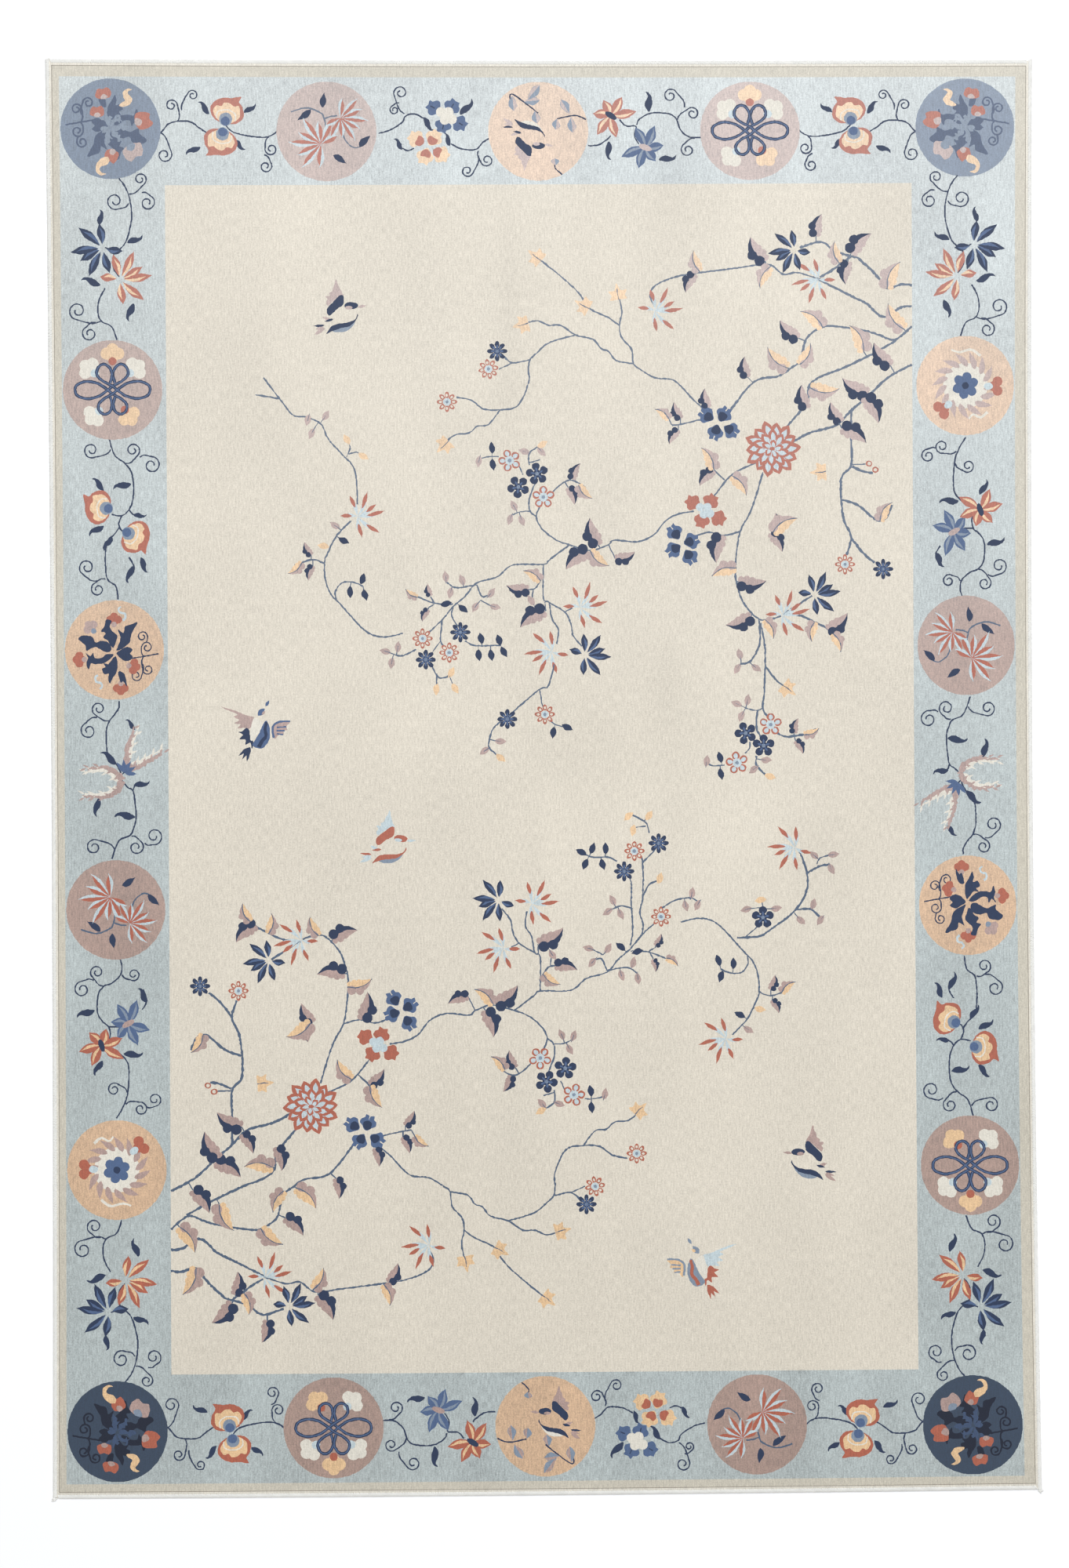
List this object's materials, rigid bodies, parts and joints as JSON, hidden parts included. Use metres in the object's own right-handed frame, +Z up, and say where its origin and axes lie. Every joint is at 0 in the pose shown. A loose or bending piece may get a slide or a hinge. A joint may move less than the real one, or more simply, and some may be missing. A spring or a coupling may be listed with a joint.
{
  "type": "flatweave rug",
  "caption": "Thin flat area rug with a cream field of flowering sprays and birds, a pale blue border of roundels and scrolling vines, and an overcast yarn edge.",
  "frame": {"origin": "on the floor, under the middle of the rug", "axes": "+Y along the rug's length towards the end that is at the top of the picture, +X across its width, +Z up out of its face"},
  "size_m": [2.004, 2.918, 0.007],
  "materials": {
    "cloth": "woven pattern with a short soft nap",
    "edging": "overcast off-white yarn"
  },
  "bodies": {
    "root": {"rug_body": "cloth", "edging_left": "edging", "edging_right": "edging", "edging_top": "edging", "edging_bottom": "edging"}
  },
  "joints": []
}
